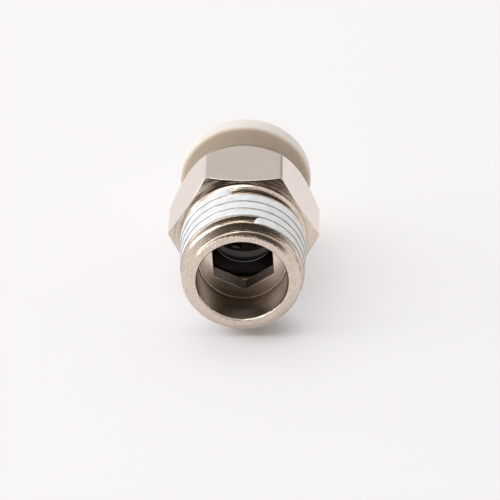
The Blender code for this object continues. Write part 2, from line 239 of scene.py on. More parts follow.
# Outside the painted shadow the lift is full; inside the oval it fades to none.
outside_painted_shadow = add_node(
    tree, "ShaderNodeMapRange", {"interpolation_type": "SMOOTHSTEP"},
    {"Value": painted_shadow_ring.outputs["Value"]}, {"From Min": PAINTED_SHADOW_CORE, "From Max": 1.0},
)
ray = add_node(tree, "ShaderNodeLightPath").outputs
direct = add_node(tree, MATH, TIMES, {0: ray["Is Camera Ray"], 1: outside_painted_shadow.outputs["Result"]})
mirrored = add_node(tree, MATH, LARGER, {0: ray["Is Glossy Ray"], 1: ray["Is Transmission Ray"]})
seen = add_node(tree, MATH, LARGER, {0: direct.outputs["Value"], 1: mirrored.outputs["Value"]})
lift = add_node(tree, MATH, TIMES, {0: seen.outputs["Value"]}, {1: PAPER_LIFT})
glow = add_node(tree, "ShaderNodeEmission", None, None, {"Color": linear(PAPER_COLOUR)})
lifted = add_node(
    tree, "ShaderNodeMixShader", None,
    {"Fac": lift.outputs["Value"], 1: shader.outputs["BSDF"], 2: glow.outputs["Emission"]},
)
tree.links.new(lifted.outputs["Shader"], tree.nodes["Material Output"].inputs["Surface"])
table_mesh.materials.append(paper)
print("material", paper.name)

# %% [markdown]
# ## The white tent
#
# Polished metal is a mirror, so what the tent looks like matters as much as the light it gives. Every
# face that leans forward shows the dark opening that the camera looks through, which is wide and
# reaches to the right. The top of the hexagon shows the rear wall, which is dimmer than the roof, and
# one of its corners shows a gap at the right of that wall. The world is worked out from the direction
# alone: white, times one soft patch for each of these places.

# %% Make the tent
TENT_COLOUR = "#FFFDFC"
TENT_STRENGTH = 0.95
OPENING = Vector((0.18, -0.79, 0.57)).normalized()
OPENING_SQUEEZE = 0.55
OPENING_TONES = [(0.70, TENT_COLOUR), (0.86, "#968C84"), (0.94, "#5C544E"), (1.0, "#3C3632")]
REAR_WALL = Vector((0.0, 0.84, 0.54)).normalized()
REAR_WALL_TONES = [(0.72, 1.0), (0.93, 0.70)]
WALL_GAP = Vector((0.46, 0.84, 0.28)).normalized()
WALL_GAP_TONES = [(0.93, 1.0), (0.985, 0.5)]

world = bpy.data.worlds.new("white_tent")
bpy.context.scene.world = world
world.use_nodes = True
tree = world.node_tree
direction = add_node(tree, "ShaderNodeTexCoord").outputs["Generated"]
squeeze = {"Scale": (OPENING_SQUEEZE, 1, 1)}
squeezed = add_node(tree, "ShaderNodeMapping", None, {"Vector": direction}, squeeze)
widened = add_node(tree, VECTOR, UNIT, {0: squeezed.outputs["Vector"]})


def tent_patch(towards, centre, stops):
    """Level of the tent round a place on it: a ramp over the cosine of the angle between directions."""
    cosine = add_node(tree, VECTOR, {"operation": "DOT_PRODUCT"}, {0: towards}, {1: centre})
    level = add_node(tree, "ShaderNodeValToRGB", None, {"Fac": cosine.outputs["Value"]}, stops=stops)
    return level.outputs["Color"]


opening = tent_patch(widened.outputs["Vector"], OPENING, OPENING_TONES)
rear_wall = tent_patch(direction, REAR_WALL, REAR_WALL_TONES)
wall_gap = tent_patch(direction, WALL_GAP, WALL_GAP_TONES)
walls = add_node(tree, VECTOR, TIMES, {0: rear_wall, 1: wall_gap})
tent = add_node(tree, VECTOR, TIMES, {0: opening, 1: walls.outputs["Vector"]})
background = tree.nodes["Background"]
tree.links.new(tent.outputs["Vector"], background.inputs["Color"])
background.inputs["Strength"].default_value = TENT_STRENGTH
print(f"tent strength {TENT_STRENGTH}")

# %% [markdown]
# ## The lamps
#
# A wide lamp overhead gives the soft shadow. A smaller one at the left draws the bright lines on the
# thread's left and on the far edge of the bore, and a long low one beside it brightens the faces that
# lean to the left. Places and sizes are in metres, and the light is in watts.

# %% Hang the lamps


def softbox(name, place, width, height, energy):
    """Rectangular lamp at a place, facing the fitting: its own -Z axis points back at the origin."""
    data = bpy.data.lights.new(name, "AREA")
    data.shape = "RECTANGLE"
    data.size, data.size_y, data.energy = width, height, energy
    lamp = bpy.data.objects.new(name, data)
    lamp.matrix_world = Matrix.Translation(place) @ place.to_track_quat("Z", "Y").to_matrix().to_4x4()
    bpy.context.collection.objects.link(lamp)
    print(f"{name}: {energy} W at {place.length:.2f} m")


softbox("overhead_softbox", Vector((-0.15, 0.08, 0.49)), 0.50, 0.40, 0.80)
softbox("left_softbox", Vector((-0.50, -0.04, 0.31)), 0.26, 0.50, 0.60)
softbox("low_softbox", Vector((-0.50, 0.18, 0.10)), 0.39, 0.12, 0.25)
bpy.context.scene.view_settings.view_transform = "Standard"

# %% [markdown]
# ## Nickel plating
#
# The body is brass under a thin bright nickel plating, a warm grey metal. What the lathe has cut carries
# fine rings, broken into streaks. So the rings are a noise that changes quickly with the distance from
# the axis and with the station, and slowly with the heading round the axis: a streak runs on for about a
# quarter of a radian. Real feed marks are about 0.03 mm apart: too fine to show here, so they are drawn
# at about 0.15 mm. Small dents from tumbling lie over all.
#
# Four numbers on each point of a piece say how it was worked, and where shade is painted. The first,
# drawn, is 1 on the flats of drawn bar. The second, dulled, is more than 0 inside and on the guide ring:
# there the plating is rougher, because it hardly reaches into a hole, and its colour is darker as painted
# shade, deeper into the bore, darkest in the key socket, and on the guide ring in the gap behind the
# hexagon. The third, nicked, is up to 1 on the first sharp edges, which knock against other parts in the
# tumbling drum until the brass shows a little. The fourth, scored, is more than 0 where a dark colour is
# laid in streaks like torn metal, as painted shade in the grooves at the right of the thread and at the
# top of the hexagon's front chamfer. A piece without such a number counts as 0.

# %% Patterns of the nickel plating
FEED_MARK = 0.15 * MM
STREAK_TURN = 0.25
SCORE_MARK = 0.30 * MM
TUMBLING_DENT = 0.20 * MM
BLOTCH = 2.5 * MM

nickel, tree, shader = new_material("nickel_plated_brass", Metallic=1.0)
place = add_node(tree, "ShaderNodeTexCoord").outputs["Object"]
split = add_node(tree, "ShaderNodeSeparateXYZ", None, {"Vector": place}).outputs
across = add_node(tree, "ShaderNodeCombineXYZ", None, {"X": split["X"], "Y": split["Z"]})
heading = add_node(tree, VECTOR, UNIT, {0: across.outputs["Vector"]})
from_axis = add_node(tree, VECTOR, LENGTH, {0: across.outputs["Vector"]})
outward = add_node(tree, "ShaderNodeCombineXYZ", None, {"Z": from_axis.outputs["Value"]})
slow = FEED_MARK / STREAK_TURN
turned_place = add_node(
    tree, VECTOR, TIMES_PLUS,
    {0: heading.outputs["Vector"], 2: outward.outputs["Vector"]}, {1: (slow, slow, 0)},
)
round_axis = {"Vector": turned_place.outputs["Vector"], "W": split["Y"]}
rings = add_node(
    tree, NOISE, {"noise_dimensions": "4D"}, round_axis,
    {"Scale": 1 / FEED_MARK, "Detail": 2.0, "Roughness": 0.6},
).outputs["Fac"]
scores = add_node(
    tree, NOISE, {"noise_dimensions": "4D"}, round_axis,
    {"Scale": 1 / SCORE_MARK, "Detail": 3.0, "Roughness": 0.7},
).outputs["Fac"]
dents = add_node(
    tree, NOISE, None, {"Vector": place}, {"Scale": 1 / TUMBLING_DENT, "Detail": 2.0, "Roughness": 0.6}
).outputs["Fac"]
blotches = add_node(
    tree, NOISE, None, {"Vector": place}, {"Scale": 1 / BLOTCH, "Detail": 4.0, "Roughness": 0.6}
).outputs["Fac"]
drawn, dulled_and_shaded, nicked, scored_and_shaded = (
    add_node(tree, "ShaderNodeAttribute", {"attribute_name": name}).outputs["Fac"]
    for name in ("drawn", "dulled_and_shaded", "nicked", "scored_and_shaded")
)
print("material", nickel.name)

# %% [markdown]
# ## Colour of the nickel plating
#
# One tint, from 0 to 1, runs through a ramp of metal tones: dark where shade is painted inside the bore
# and the key socket, bright on the step between them, which is shaded less, browner where the lathe has
# cut the outside, because the plating is thinner over its tool marks, and pale and even on drawn bar.
# Bare brass, and dark streaks of painted shade, are laid over it. A painted picture could hold all this,
# but a ramp over noise needs no unwrapping and shows no seams.

# %% Colour of the nickel plating
BLOTCH_TINT, DENT_TINT, DRAWN_TINT, SHADE_TINT, PLAIN_TINT = 0.15, 0.30, 0.25, -0.6, 0.45
NICKEL_TONES = [
    (0.0, "#877C71"), (0.08, "#9B8E82"), (0.23, "#CABDB1"), (0.32, "#E6DACC"), (0.40, "#DED1C3"),
    (0.62, "#CABDAF"), (0.73, "#E4D7C9"), (0.88, "#E2D7CD"), (0.97, "#ECE2D9"),
]
BRASS_COLOUR, BRASS_SHARE = "#EBCFA2", 0.4
# Dark streak colour, laid as painted shade where the scored number is.
SHADE_STREAK_COLOUR, SHADE_STREAK_SHARE = "#4A3D33", 0.9
SHADE_STREAK_RANGE = {"From Min": 0.45, "From Max": 0.60, "To Max": SHADE_STREAK_SHARE}

tint = add_node(tree, MATH, TIMES, {0: blotches}, {1: BLOTCH_TINT})
# The dulled number darkens the tint inside: painted shade.
for pattern, share in ((dents, DENT_TINT), (drawn, DRAWN_TINT), (dulled_and_shaded, SHADE_TINT)):
    tint = add_node(tree, MATH, TIMES_PLUS, {0: pattern, 2: tint.outputs["Value"]}, {1: share})
tint = add_node(tree, MATH, PLUS, {0: tint.outputs["Value"]}, {1: PLAIN_TINT})
tone = add_node(tree, "ShaderNodeValToRGB", None, {"Fac": tint.outputs["Value"]}, stops=NICKEL_TONES)
bared = add_node(tree, MATH, TIMES, {0: nicked}, {1: BRASS_SHARE})
# Dark streaks shaped like torn metal, laid as painted shade.
streaks = add_node(tree, "ShaderNodeMapRange", None, {"Value": scores}, SHADE_STREAK_RANGE)
streak_shade = add_node(tree, MATH, TIMES, {0: scored_and_shaded, 1: streaks.outputs["Result"]})
metal = tone.outputs["Color"]
for share, colour in ((bared, BRASS_COLOUR), (streak_shade, SHADE_STREAK_COLOUR)):
    metal = add_node(
        tree, "ShaderNodeMix", {"data_type": "RGBA"}, {"Factor": share.outputs["Value"], "A": metal},
        {"B": linear(colour)},
    ).outputs["Result"]
tree.links.new(metal, shader.inputs["Base Color"])
print("nickel tones:", len(NICKEL_TONES))

# %% [markdown]
# ## Gloss and relief of the nickel plating
#
# The rings make the turned metal sharper and softer by turns. Drawn and dulled metal is rougher, so it
# mirrors less sharply, and its rings and dents are shallower. They are about 0.02 mm high, too fine for
# the mesh, so they are a bump in the material. On nicked edges the dents go deeper.

# %% Gloss and relief of the nickel plating
NOISE_LOW, NOISE_HIGH = 0.3, 0.7
RING_RANGE = {"From Min": NOISE_LOW, "From Max": NOISE_HIGH, "To Min": 0.09, "To Max": 0.17}
DULL_RANGE = {"From Min": 0.4, "From Max": 1.0, "To Max": 0.28}
DRAWN_ROUGHNESS = 0.06
RING_DEPTH, DENT_DEPTH, NICK_DEPTH = 1.4, 0.6, 8.0
PLAIN_BUMP, DULLED_BUMP, DRAWN_BUMP = 0.8, -1.0, -0.6
MARK_HEIGHT = 0.02 * MM

ring_gloss = add_node(tree, "ShaderNodeMapRange", None, {"Value": rings}, RING_RANGE).outputs["Result"]
dulling = add_node(tree, "ShaderNodeMapRange", None, {"Value": dulled_and_shaded}, DULL_RANGE).outputs["Result"]
bar_gloss = add_node(tree, MATH, TIMES_PLUS, {0: drawn, 2: ring_gloss}, {1: DRAWN_ROUGHNESS})
gloss = add_node(tree, MATH, PLUS, {0: dulling, 1: bar_gloss.outputs["Value"]})
tree.links.new(gloss.outputs["Value"], shader.inputs["Roughness"])

dent_depth = add_node(tree, MATH, TIMES_PLUS, {0: nicked}, {1: NICK_DEPTH, 2: DENT_DEPTH})
dented = add_node(tree, MATH, TIMES, {0: dents, 1: dent_depth.outputs["Value"]})
relief = add_node(tree, MATH, TIMES_PLUS, {0: rings, 2: dented.outputs["Value"]}, {1: RING_DEPTH})
evened = add_node(tree, MATH, TIMES_PLUS, {0: dulled_and_shaded}, {1: DULLED_BUMP, 2: PLAIN_BUMP})
strength = add_node(tree, MATH, TIMES_PLUS, {0: drawn, 2: evened.outputs["Value"]}, {1: DRAWN_BUMP})
bump = add_node(
    tree, "ShaderNodeBump", None,
    {"Height": relief.outputs["Value"], "Strength": strength.outputs["Value"]}, {"Distance": MARK_HEIGHT},
)
tree.links.new(bump.outputs["Normal"], shader.inputs["Normal"])
print(f"nickel marks: {MARK_HEIGHT / MM} mm high")

# %% [markdown]
# ## White thread sealant
#
# Makers brush a white sealant into taper threads and let it dry. It looks like thick matt paint: cool
# white, nearly flush with the crests, a little uneven, and very slightly grey where it is thin.

# %% Make the sealant
SEALANT_MOTTLE = 1.2 * MM
SEALANT_GRAIN = 0.14 * MM
SEALANT_TONES = [(0.30, "#D6DBDF"), (0.50, "#EAEDEF"), (0.70, "#F2F4F5")]
SEALANT_ROUGHNESS = 0.55
SEALANT_BUMP = {"Strength": 0.35, "Distance": 0.02 * MM}

sealant, tree, shader = new_material("dried_white_sealant", Roughness=SEALANT_ROUGHNESS)
place = add_node(tree, "ShaderNodeTexCoord").outputs["Object"]
mottle = add_node(
    tree, NOISE, None, {"Vector": place}, {"Scale": 1 / SEALANT_MOTTLE, "Detail": 5.0, "Roughness": 0.65}
)
tone = add_node(tree, "ShaderNodeValToRGB", None, {"Fac": mottle.outputs["Fac"]}, stops=SEALANT_TONES)
tree.links.new(tone.outputs["Color"], shader.inputs["Base Color"])
grain = add_node(
    tree, NOISE, None, {"Vector": place}, {"Scale": 1 / SEALANT_GRAIN, "Detail": 3.0, "Roughness": 0.5}
)
bump = add_node(tree, "ShaderNodeBump", None, {"Height": grain.outputs["Fac"]}, SEALANT_BUMP)
tree.links.new(bump.outputs["Normal"], shader.inputs["Normal"])
print("material", sealant.name)

# %% [markdown]
# ## Moulded plastics and rubber
#
# The button is a cream acetal or polyester moulding with a satin face, from a mould with a very fine
# spark-eroded grain. The spacer ring and collet are the same kind of plastic in grey. The seal is black
# nitrile rubber, smooth and slightly glossy. All share one recipe: a base colour with a faint cloud in
# it, and a fine grain in the bump and the roughness. Light also enters the cream plastic and comes out a
# millimetre away, warmer, which softens the shade under its rim. A number on the points of a piece
# multiplies its colour by a warm tint: painted warm shade, where the shade under the flange is warmer.

# %% Make the plastics and the rubber
MOULD_GRAIN = 0.12 * MM
MOULD_CLOUD = 4.0 * MM
MOULD_BUMP = 0.3
# Tint of the painted warm shade.
WARM_SHADE_COLOUR = "#FEF9F0"


def moulded(name, dark, light, roughness, grain_height, **depth):
    """Moulded finish: a cloudy colour between two tones, and a grain of the given height in mm."""
    material, tree, shader = new_material(name, **depth)
    place = add_node(tree, "ShaderNodeTexCoord").outputs["Object"]
    cloud = add_node(tree, NOISE, None, {"Vector": place}, {"Scale": 1 / MOULD_CLOUD, "Detail": 3.0})
    tones = [(0.35, dark), (0.65, light)]
    tone = add_node(tree, "ShaderNodeValToRGB", None, {"Fac": cloud.outputs["Fac"]}, stops=tones)
    # Painted warm shade: where the number on the points is 1, the colour is multiplied by a warm tint.
    painted_warm_shade = add_node(tree, "ShaderNodeAttribute", {"attribute_name": "painted_warm_shade"})
    shade_warmed = add_node(
        tree, "ShaderNodeMix", {"data_type": "RGBA", "blend_type": "MULTIPLY"},
        {"Factor": painted_warm_shade.outputs["Fac"], "A": tone.outputs["Color"]}, {"B": linear(WARM_SHADE_COLOUR)},
    )
    tree.links.new(shade_warmed.outputs["Result"], shader.inputs["Base Color"])
    grain = add_node(tree, NOISE, None, {"Vector": place}, {"Scale": 1 / MOULD_GRAIN, "Detail": 2.0})
    gloss = add_node(
        tree, "ShaderNodeMapRange", None, {"Value": grain.outputs["Fac"]},
        {"From Min": NOISE_LOW, "From Max": NOISE_HIGH, "To Min": roughness[0], "To Max": roughness[1]},
    )
    tree.links.new(gloss.outputs["Result"], shader.inputs["Roughness"])
    bump = add_node(
        tree, "ShaderNodeBump", None, {"Height": grain.outputs["Fac"]},
        {"Strength": MOULD_BUMP, "Distance": grain_height * MM},
    )
    tree.links.new(bump.outputs["Normal"], shader.inputs["Normal"])
    print("material", name)
    return material


cream = moulded(
    "cream_moulded_plastic", "#E6E2DC", "#EBE7E2", (0.40, 0.52), 0.008,
    Subsurface_Weight=0.6, Subsurface_Radius=(1.0, 0.65, 0.3), Subsurface_Scale=1.0 * MM,
)
grey = moulded("grey_moulded_plastic", "#67666A", "#717074", (0.42, 0.55), 0.008)
rubber = moulded(
    "black_nitrile_rubber", "#020203", "#040405", (0.18, 0.24), 0.0004, Specular_IOR_Level=0.35
)

# %% [markdown]
# ## Stainless steel for the chuck
#
# The chuck is pressed from thin stainless sheet. Rolled sheet carries fine straight lines in one
# direction, so its noise is stretched along one axis before it reaches the roughness.

# %% Make the stainless steel
STEEL_COLOUR = "#B8AEA4"
ROLLING_LINE = 0.06 * MM
LINE_STRETCH = {"Scale": (1.0, 1.0, 0.05)}
STEEL_GLOSS = {"To Min": 0.22, "To Max": 0.38}

steel, tree, shader = new_material(
    "rolled_stainless_steel", Base_Color=linear(STEEL_COLOUR), Metallic=1.0
)
place = add_node(tree, "ShaderNodeTexCoord").outputs["Object"]
stretch = add_node(tree, "ShaderNodeMapping", None, {"Vector": place}, LINE_STRETCH)
rolled_place = {"Vector": stretch.outputs["Vector"]}
rolled = add_node(tree, NOISE, None, rolled_place, {"Scale": 1 / ROLLING_LINE, "Detail": 2.0})
gloss = add_node(tree, "ShaderNodeMapRange", None, {"Value": rolled.outputs["Fac"]}, STEEL_GLOSS)
tree.links.new(gloss.outputs["Result"], shader.inputs["Roughness"])
print("material", steel.name)

# %% [markdown]
# ## Rings from profiles
#
# A closed profile carried round the axis makes a ring: a surface with two parameters, the place along
# the profile and the angle round the axis. Both wrap, so the grid of points has no open edge and no
# pole. Real parts have no perfectly sharp edges, so each corner of a profile is rounded first, with the
# size that a deburring tool or a mould would leave.

# %% Helpers for profiles
ROUND_STEPS = np.linspace(0.0, 1.0, 7)
CLOSEST = 0.3


def rounded(corners):
    """Round a closed profile of (radius, station, size) rows.

    Each corner becomes a curve between two points that lie at the given size from it towards its
    neighbours. With t the share of the way gone, that is the first point times the square of 1 - t, plus
    the corner times twice t times 1 - t, plus the last point times the square of t.
    """
    rows = np.array(corners, float)
    point, size = rows[:, :2], rows[:, 2:]
    before = np.roll(point, 1, axis=0) - point
    after = np.roll(point, -1, axis=0) - point
    first = point + before / np.linalg.norm(before, axis=1, keepdims=True) * size
    last = point + after / np.linalg.norm(after, axis=1, keepdims=True) * size
    t = ROUND_STEPS[None, :, None]
    curve = (1 - t) ** 2 * first[:, None] + 2 * t * (1 - t) * point[:, None] + t ** 2 * last[:, None]
    return curve.reshape(-1, 2)


def refined(line, step):
    """Add points along a line so that none are further apart than a step.

    An even spacing along the line's length is merged with the line's own points, less the places that
    come too close to one of them.
    """
    length = np.concatenate([[0], np.cumsum(np.linalg.norm(np.diff(line, axis=0), axis=1))])
    even = np.arange(step, length[-1], step)
    free = np.abs(even[:, None] - length[None, :]).min(axis=1) > CLOSEST * step
    places = np.sort(np.concatenate([length, even[free]]))
    return np.column_stack([np.interp(places, length, line[:, column]) for column in (0, 1)])


def part_refined(corners, count, fine, coarse):
    """Rounded closed profile with fine steps over its first corners and coarse steps over the rest."""
    line = rounded(corners)
    line = np.vstack([line, line[:1]])
    seen = count * len(ROUND_STEPS)
    return np.vstack([refined(line[:seen], fine), refined(line[seen - 1:], coarse)[1:-1]])


def even_angles(count):
    """Whole shares of a turn as angles, clockwise from the top as seen from the thread end."""
    return np.arange(count) * (math.tau / count)


print(f"{len(ROUND_STEPS)} points round a corner")

# %% [markdown]
# ## From points to pieces
#
# A piece is a mesh with a material that rides on one of the model's bodies. It is given the slot of the
# model that its material fills, which is not used, and the nodes that it stands for, which are hidden. It
# can also carry numbers on its points, which its material reads.

# %% Helpers for pieces


def add_piece(name, points, faces, material, body, slot, nodes=()):
    """Turn points in millimetres and faces into a smooth piece that rides on a body.

    The points are moved from stations to the model's frame. The sum, over a triangle of each face, of its
    middle times its normal has the sign of the volume, so below 0 the faces point inwards and are turned.
    """
    place = points * MM
    place[:, 1] += thread_end
    corner = place[faces[:, :3]]
    normal = np.cross(corner[:, 1] - corner[:, 0], corner[:, 2] - corner[:, 0])
    if (corner.mean(axis=1) * normal).sum() < 0:
        faces = faces[:, ::-1]
    mesh = bpy.data.meshes.new(name)
    mesh.from_pydata(place, [], faces.tolist())
    mesh.materials.append(material)
    mesh.shade_smooth()
    piece = bpy.data.objects.new(name, mesh)
    bpy.context.collection.objects.link(piece)
    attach(piece, body)
    if nodes:
        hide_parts(*nodes)
    print(f"{name}: {len(place)} points, {len(faces)} faces")
    return piece


def ring(name, radius, station, angle, *finish):
    """Ring from a grid of radii and stations: rows along the profile, columns round the axis.

    A point lies across by the radius times the sine of the angle, along by the station, and up by the
    radius times the cosine. Each face joins a row and column to the next, the last to the first.
    """
    rows, columns = np.broadcast_shapes(radius.shape, station.shape, angle.shape)
    place = np.broadcast_arrays(radius * np.sin(angle), station, radius * np.cos(angle))
    grid = np.stack(place, axis=-1)
    index = np.arange(rows * columns).reshape(rows, columns)
    below = np.roll(index, -1, axis=0)
    faces = np.stack([index, below, np.roll(below, -1, axis=1), np.roll(index, -1, axis=1)], axis=-1)
    return add_piece(name, grid.reshape(-1, 3), faces.reshape(-1, 4), *finish)


def turned(name, corners, count, *finish):
    """Plain turned or moulded ring from a rounded profile."""
    profile = rounded(corners)
    return ring(name, profile[:, :1], profile[:, 1:], even_angles(count)[None, :], *finish)


def mark(piece, name, share):
    """Write a number on each point of a piece, under the name that its material reads."""
    data = piece.data.attributes.new(name, "FLOAT", "POINT").data
    data.foreach_set("value", share.astype(np.float32).ravel())
    print(f"{piece.name}: {name} up to {float(share.max()):.2f}")


# %% [markdown]
# ## The thread
#
# A taper pipe thread is one groove wound round a cone. Seen along the axis, the groove repeats every
# pitch, and it moves by one pitch in each turn. So at any angle and station the distance to the middle
# of the nearest groove follows from rounding to whole turns, and the surface is the lower of two
# heights: the turned cone and the groove's two sloping flanks. A soft minimum leaves a small round on
# the crests.

# %% Thread sizes
PITCH = 1.337
TIP_CREST = 6.46
TAPER = 1 / 16
THREAD_DEPTH = 0.640 * PITCH
ROOT_HALF_WIDTH = PITCH / 12
FLANK_SLOPE = math.tan(math.radians(27.5))
CREST_ROUND = 0.24
FIRST_GROOVE = 0.80
HEX_FRONT = 8.75
RUNOUT_GAP = 0.60
RUNOUT_TURNS = 0.5
RUNOUT_LIFT = THREAD_DEPTH + 0.1
RUNOUT_END = (HEX_FRONT - RUNOUT_GAP - FIRST_GROOVE) / PITCH
RUNOUT_START = RUNOUT_END - RUNOUT_TURNS


def crest_radius(station):
    """Radius of the crests: the tip's radius plus half the taper times the station."""
    return TIP_CREST + station * TAPER / 2


def soft_minimum(first, second, blend):
    """Lower of two heights, rounded where they cross.

    The root of the squared difference plus the squared blend is taken from their sum, and what is left
    is halved.
    """
    return (first + second - np.sqrt((first - second) ** 2 + blend ** 2)) / 2


def groove_radius(station, angle):
    """Radius of the groove's bottom and flanks at a station and angle.

    The nearest turn is the rounded number of pitches from the first groove, less the angle. Its distance
    sets the height on the flank, and the run-out lifts the last half turn out of the metal.
    """
    turn = angle / math.tau
    nearest = np.round((station - FIRST_GROOVE) / PITCH - turn)
    distance = np.abs(station - FIRST_GROOVE - (nearest + turn) * PITCH)
    flank = np.maximum(distance - ROOT_HALF_WIDTH, 0) / FLANK_SLOPE
    lift = np.clip((nearest + turn - RUNOUT_START) / RUNOUT_TURNS, 0, 1) * RUNOUT_LIFT
    return crest_radius(station) - THREAD_DEPTH + flank + lift


print(f"run-out from turn {RUNOUT_START:.2f} to {RUNOUT_END:.2f}")

# %% [markdown]
# ## Profile of the threaded end
#
# One closed profile runs from the mouth of the bore over the end face and along the outside of the
# thread, then back inside through the tube pocket and the key socket to the bore. Behind the last groove
# a shallow relief, left by the threading tool, slopes up to the plain shank. The columns of the grid are
# placed for the key socket: three stand close together at each of its corners, which keeps them sharp.

# %% Profile and columns of the threaded end
BORE_RADIUS = 4.80
MOUTH_DEPTH = 0.20
MOUTH_SLOPE = math.tan(math.radians(34))
END_FACE_RADIUS = 5.60
TIP_CHAMFER = 0.77
KEY_FLAT = 3.2
KEY_START = 4.2
KEY_TURN = math.radians(3.5)
TUBE_STOP = 6.0
TUBE_POCKET = 4.4
SEAL_POCKET_START = SEAL_FRONT - 0.05
SHANK_JOIN = 5.3
SHANK_END = HEX_FRONT + 0.05
RELIEF_FRONT = HEX_FRONT - 1.0
RELIEF_FLOOR = RELIEF_FRONT + 0.15
RELIEF_REAR = HEX_FRONT - 0.33
RELIEF_DEPTH = 0.23

threaded = part_refined([
    (BORE_RADIUS, MOUTH_DEPTH, 0.04),
    (BORE_RADIUS + MOUTH_DEPTH * MOUTH_SLOPE, 0.0, 0.03),
    (END_FACE_RADIUS, 0.0, 0.03),
    (crest_radius(TIP_CHAMFER), TIP_CHAMFER, 0.12),
    (crest_radius(RELIEF_FRONT), RELIEF_FRONT, 0.10),
    (crest_radius(RELIEF_FRONT) - RELIEF_DEPTH, RELIEF_FLOOR, 0.04),
    (crest_radius(RELIEF_REAR), RELIEF_REAR, 0.08),
    (crest_radius(HEX_FRONT), SHANK_END, 0.01),
    (SHANK_JOIN, SHANK_END, 0.05),
    (SHANK_JOIN, SEAL_POCKET_START, 0.05),
    (TUBE_POCKET, SEAL_POCKET_START, 0.05),
    (TUBE_POCKET, TUBE_STOP, 0.10),
    (KEY_FLAT, TUBE_STOP, 0.03),
    (KEY_FLAT, KEY_START, 0.015),
    (BORE_RADIUS, KEY_START, 0.15),
], count=8, fine=0.055, coarse=0.2)
base_radius, station = threaded[:, :1], threaded[:, 1:]
key_sector = np.radians(np.concatenate([[-0.25, 0.0, 0.25], np.linspace(1.0, 59.0, 45)]))
key_corner = math.pi - KEY_TURN + np.arange(6)[:, None] * (math.tau / 6)
angle = np.sort((key_corner + key_sector) % math.tau, axis=None)[None, :]
print(f"threaded end: {len(threaded)} rows, {angle.size} columns")

# %% [markdown]
# ## Surface of the threaded end
#
# The thread cuts the outside of the profile. The first crest lies half a pitch before the first groove.
# At the left a knock has bruised it: the metal is spread into a facet that slopes down to the front, with
# a small burr at its top. Inside, the circle of the profile is pushed out to a hexagon where the key
# socket is.

# %% Make the threaded end
CREST_START = 0.4
BRUISE_ANGLE = math.radians(-43)
BRUISE_REACH = math.radians(34)
BRUISE_SLOPE = math.tan(math.radians(35))
BRUISE_FRONT, BRUISE_BACK = -0.22, 0.15
BRUISE_SIDE = 2.0
BRUISE_FADE = 0.4
BURR = 0.065

turn = angle / math.tau
first_crest = FIRST_GROOVE + (turn - 0.5 + (turn < CREST_START)) * PITCH
outside = soft_minimum(base_radius, groove_radius(station, angle), CREST_ROUND)
from_bruise = (angle - BRUISE_ANGLE + math.pi) % math.tau - math.pi
bruised = np.exp(-(from_bruise / BRUISE_REACH) ** 4)
across = station - first_crest
fall = np.maximum((BRUISE_BACK - across) * BRUISE_SLOPE, (across - BRUISE_BACK) * BRUISE_SIDE)
fall = fall + BRUISE_SIDE * np.maximum(BRUISE_FRONT - across, 0)
bruise = crest_radius(station) + BURR - fall - BRUISE_FADE * (1 - bruised)
on_outside = base_radius > END_FACE_RADIUS
outside = np.where(on_outside, np.maximum(outside, bruise), outside)

to_corner = (angle - math.pi + KEY_TURN + math.tau / 12) % (math.tau / 6) - math.tau / 12
to_flat = math.tau / 12 - np.abs(to_corner)
key_radius = KEY_FLAT / np.cos(to_flat)
inside_key = np.clip((TUBE_POCKET - base_radius) / (TUBE_POCKET - KEY_FLAT), 0, 1)
threaded_radius = outside + inside_key * (key_radius - KEY_FLAT)
piece = ring(
    "threaded_end", threaded_radius, station, angle, nickel, "housing", "nickel_plated_brass", ["body"]
)

# %% [markdown]
# ## How the threaded end was worked
#
# Now the piece gets its numbers. The first crest is nicked all round but for the bruise, the rim of the
# end face less, and the mouth of the bore least. Near the start of the thread, at the right, dark streaks
# are laid on the metal below the crests as painted shade. Inside, painted shade deepens from the mouth
# of the bore inwards and is darkest in the key socket, and the step between them is shaded less. The
# plating there is rougher too.

# %% Say how the threaded end was worked
EDGE_REACH = 0.10
RIM_NICKS, MOUTH_NICKS = 0.3, 0.12
START_ANGLE = math.radians(80)
# Painted shade in the grooves at the right: where it starts, how far below the crests it fades in, and
# how dark it gets.
GROOVE_SHADE_FRONT, GROOVE_SHADE_TOP, GROOVE_SHADE_DEPTH = 0.5, 0.12, 0.25
GROOVE_SHADE_LEVEL = 0.8
NEAR = 0.01
SOCKET_LIMIT, LEDGE_LIMIT = BORE_RADIUS - 0.5, BORE_RADIUS - 0.1
WALL_START = 0.1
# Painted shade, with rougher plating, in the key socket, on the step, and along the wall from its mouth.
SOCKET_DULL_AND_SHADE, LEDGE_DULL_AND_SHADE = 0.95, 0.56
MOUTH_DULL_AND_SHADE, WALL_DULL_AND_SHADE_RISE = 0.72, 0.33


def near_edge(edge_radius):
    """Bell curve round an edge of the end face.

    It is e to the power of minus the squared distance over the squared reach.
    """
    return np.exp(-((station / EDGE_REACH) ** 2 + ((base_radius - edge_radius) / EDGE_REACH) ** 2))


on_crest = np.exp(-((station - first_crest) / EDGE_REACH) ** 2) * on_outside * (1 - bruised)
on_edges = RIM_NICKS * near_edge(END_FACE_RADIUS) + MOUTH_NICKS * near_edge(BORE_RADIUS)
mark(piece, "nicked", np.maximum(on_crest, on_edges))

# Painted shade: dark streaks below the crests, at the right of the thread.
below_crest = (crest_radius(station) - threaded_radius) * on_outside * (station > GROOVE_SHADE_FRONT)
at_start = np.clip(np.cos(angle - START_ANGLE), 0, 1) ** 2
mark(piece, "scored_and_shaded", GROOVE_SHADE_LEVEL * at_start * np.clip((below_crest - GROOVE_SHADE_TOP) / GROOVE_SHADE_DEPTH, 0, 1))

